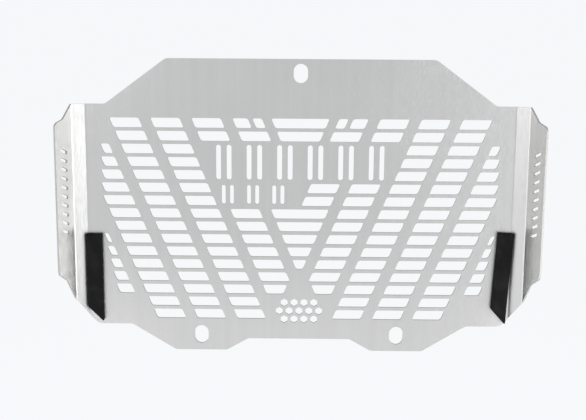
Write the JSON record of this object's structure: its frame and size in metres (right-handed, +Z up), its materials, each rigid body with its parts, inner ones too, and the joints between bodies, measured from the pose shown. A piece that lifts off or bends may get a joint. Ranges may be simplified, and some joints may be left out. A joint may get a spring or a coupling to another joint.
{
  "type": "motorcycle radiator guard",
  "caption": "Folded sheet-metal radiator guard with raked slots, angled side wings, slotted mounting holes and foam strips on its rear face.",
  "frame": {"origin": "centre of the top mounting slot, on the rear face of the panel", "axes": "+X across the bike, along the panel; +Z up, from the ears to the top edge; -Y out of the rear face, towards the radiator, which is the side the wings fold to"},
  "size_m": [0.4078, 0.0252, 0.253],
  "materials": {
    "brushed_sheet": "vertical brushed grain, satin",
    "foam": "matte closed-cell foam"
  },
  "bodies": {
    "root": {"guard_sheet": "brushed_sheet", "foam_strip_left": "foam", "foam_strip_right": "foam"}
  },
  "joints": []
}
